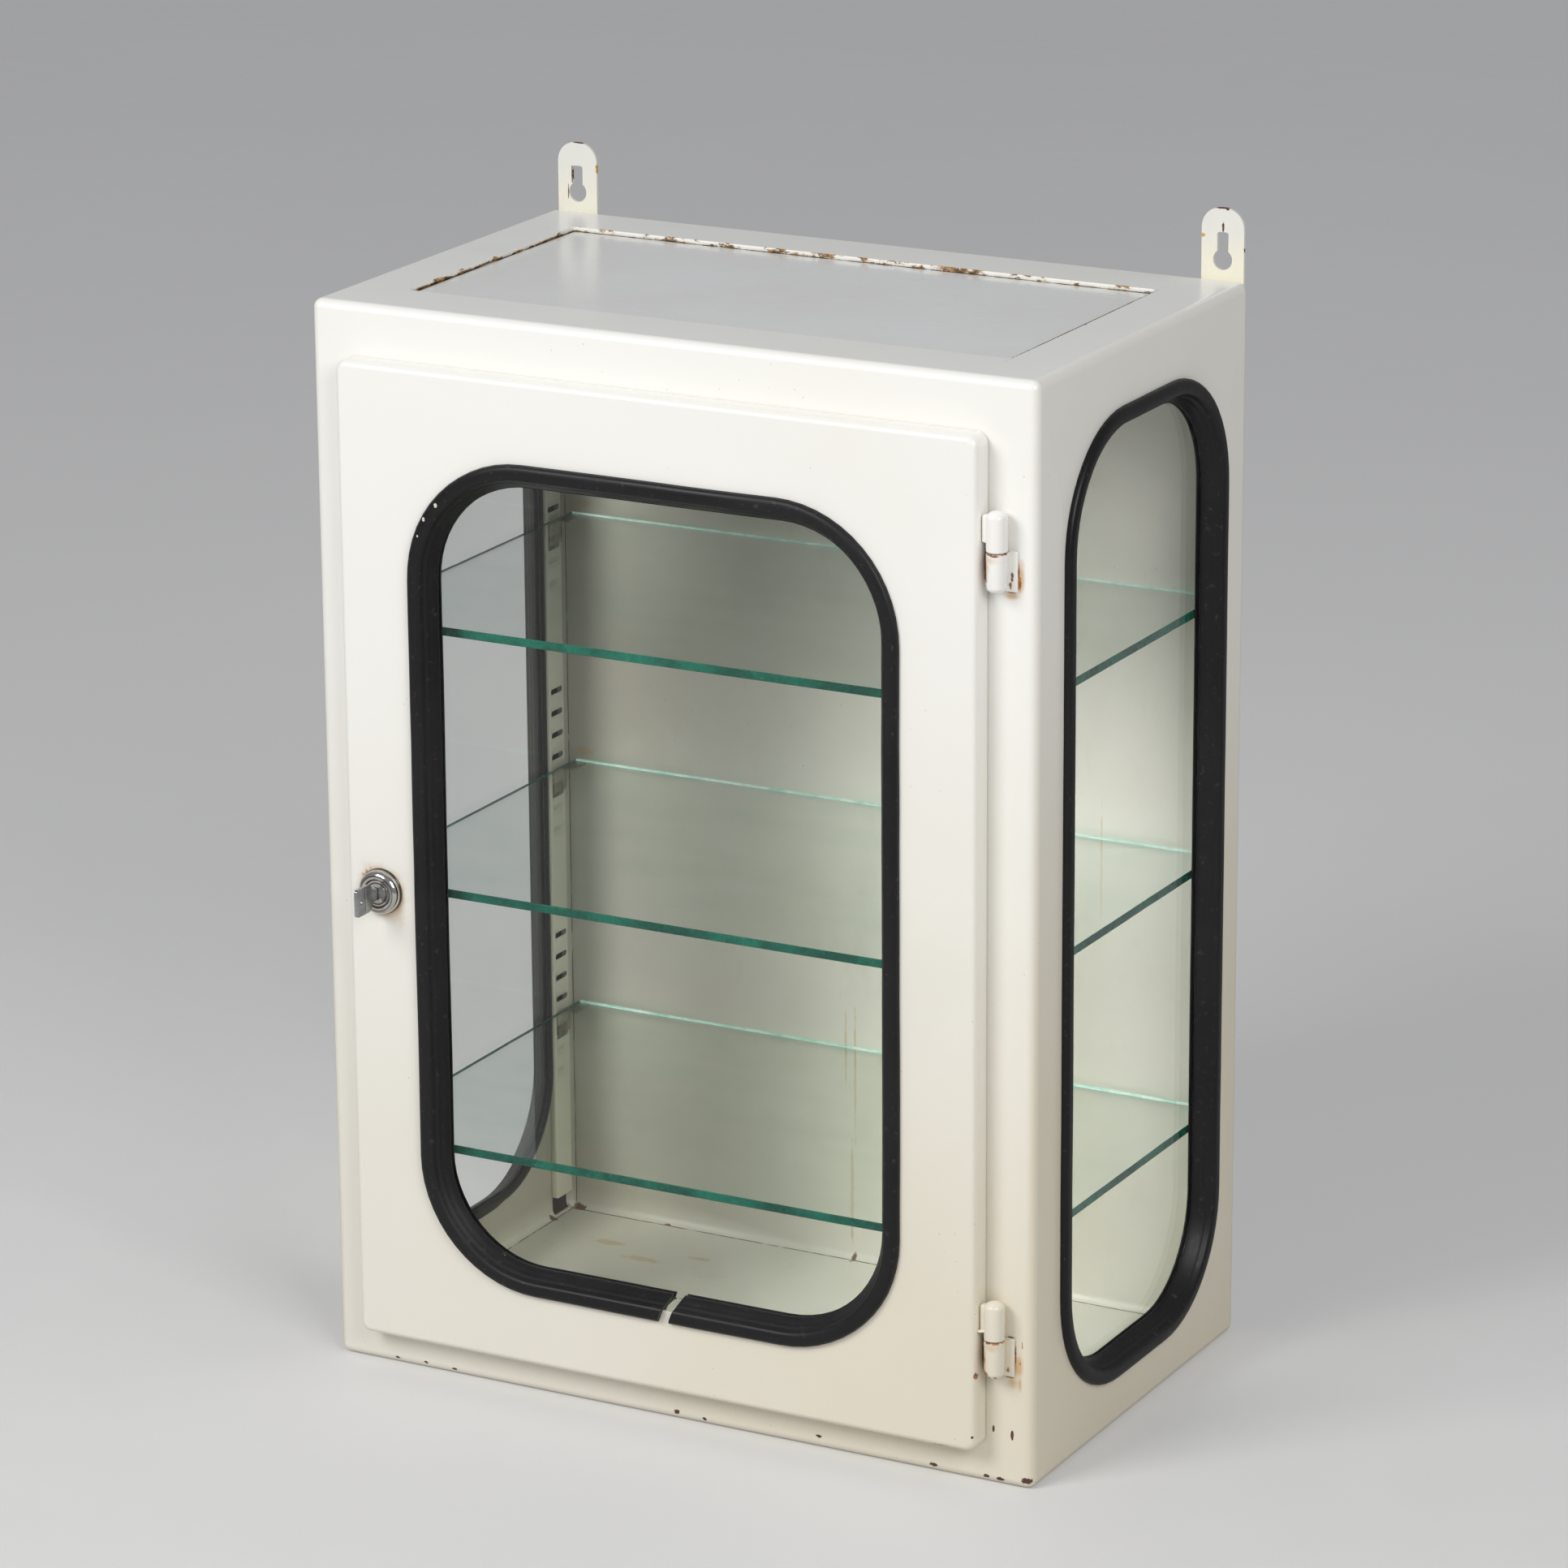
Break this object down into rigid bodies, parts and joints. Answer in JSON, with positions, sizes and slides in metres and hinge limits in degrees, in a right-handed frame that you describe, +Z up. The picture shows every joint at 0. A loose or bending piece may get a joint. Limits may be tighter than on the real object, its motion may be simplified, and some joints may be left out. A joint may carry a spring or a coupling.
{
  "type": "medicine cabinet",
  "caption": "Wall-hung sheet-steel medicine cabinet with a lockable glazed door on lift-off hinges, glazed sides in rubber gaskets and glass shelves on clips.",
  "frame": {"origin": "centre of the underside of the case's floor panel", "axes": "+Z up, the door faces -Y and the wall side faces +Y, hinges on the +X side"},
  "size_m": [0.509, 0.3498, 0.745],
  "materials": {
    "enamel": "warm white baked enamel, satin gloss, chipped and rust-stained at the edges",
    "tab_paint": "cream enamel with rust at the edges",
    "rubber": "black satin rubber",
    "pane_glass": "clear window glass",
    "shelf_glass": "clear float glass with teal edges",
    "chrome": "bright nickel or chrome plate",
    "steel": "plain zinc-plated steel"
  },
  "bodies": {
    "case": {"side_panel_left": "enamel", "side_panel_right": "enamel", "front_rail_top": "enamel", "front_rail_bottom": "enamel", "front_stile_left": "enamel", "front_stile_right": "enamel", "back_panel": "enamel", "floor_panel": "enamel", "top_surround": "enamel", "top_panel": "enamel", "hanging_tab_left": "tab_paint", "hanging_tab_right": "tab_paint", "side_gasket_left": "rubber", "side_gasket_right": "rubber", "side_glass_left": "pane_glass", "side_glass_right": "pane_glass", "pilaster_front_left": "enamel", "pilaster_front_right": "enamel", "pilaster_back_left": "enamel", "pilaster_back_right": "enamel", "bottom_shelf_clip_front_left": "enamel", "bottom_shelf_clip_front_right": "enamel", "bottom_shelf_clip_back_left": "enamel", "bottom_shelf_clip_back_right": "enamel", "middle_shelf_clip_front_left": "enamel", "middle_shelf_clip_front_right": "enamel", "middle_shelf_clip_back_left": "enamel", "middle_shelf_clip_back_right": "enamel", "top_shelf_clip_front_left": "enamel", "top_shelf_clip_front_right": "enamel", "top_shelf_clip_back_left": "enamel", "top_shelf_clip_back_right": "enamel", "upper_hinge_frame_half": "enamel", "lower_hinge_frame_half": "enamel", "upper_hinge_pin": "steel", "lower_hinge_pin": "steel"},
    "door": {"door_panel": "enamel", "door_gasket": "rubber", "door_glass": "pane_glass", "upper_hinge_door_half": "enamel", "lower_hinge_door_half": "enamel", "lock_housing": "chrome", "lock_nut": "steel"},
    "lock": {"lock_cylinder": "chrome", "lock_cam": "steel", "cam_screw": "steel"},
    "key": {"key": "chrome"},
    "shelf_bottom": {"bottom_shelf": "shelf_glass"},
    "shelf_middle": {"middle_shelf": "shelf_glass"},
    "shelf_top": {"top_shelf": "shelf_glass"}
  },
  "joints": [
    {"name": "door_swing", "type": "hinge", "parent": "case", "child": "door", "pos_m": [0.2275, -0.158, 0.345], "axis": [0, 0, 1], "range_deg": [0, 165]},
    {"name": "lock_turn", "type": "hinge", "parent": "door", "child": "lock", "pos_m": [-0.199, -0.166, 0.327], "axis": [0, 1, 0], "range_deg": [0, 90]},
    {"name": "key_pull", "type": "slide", "parent": "lock", "child": "key", "axis": [0, -1, 0], "range_m": [0, 0.03]},
    {"name": "bottom_shelf_lift", "type": "slide", "parent": "case", "child": "shelf_bottom", "axis": [0, 0, 1], "range_m": [0, 0.012]},
    {"name": "middle_shelf_lift", "type": "slide", "parent": "case", "child": "shelf_middle", "axis": [0, 0, 1], "range_m": [0, 0.012]},
    {"name": "top_shelf_lift", "type": "slide", "parent": "case", "child": "shelf_top", "axis": [0, 0, 1], "range_m": [0, 0.012]}
  ]
}
